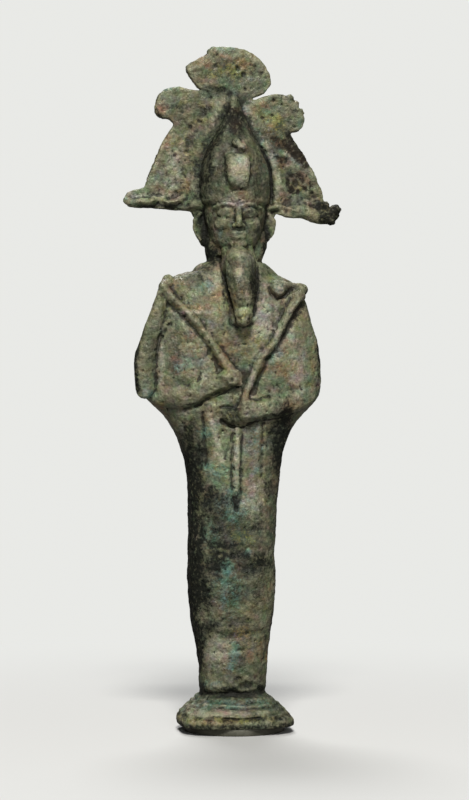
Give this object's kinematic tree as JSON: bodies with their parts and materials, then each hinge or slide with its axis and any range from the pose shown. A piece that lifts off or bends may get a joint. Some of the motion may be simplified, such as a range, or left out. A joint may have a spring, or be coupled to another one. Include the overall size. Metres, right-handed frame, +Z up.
{
  "type": "osiris figure",
  "caption": "Small cast bronze standing Osiris with crossed arms, crook, flail and plumed crown, on a splayed foot that rests on a thin round disc.",
  "frame": {"origin": "middle of the disc's underside, where the part rests", "axes": "+Z up along the figure, -Y the way it faces, +X towards its left hand"},
  "size_m": [0.0483, 0.0228, 0.1516],
  "materials": {
    "bronze": "olive-brown bronze patina with verdigris and worn high spots",
    "disc_metal": "dull grey-olive metal"
  },
  "bodies": {
    "root": {"figure": "bronze", "display_disc": "disc_metal"}
  },
  "joints": []
}
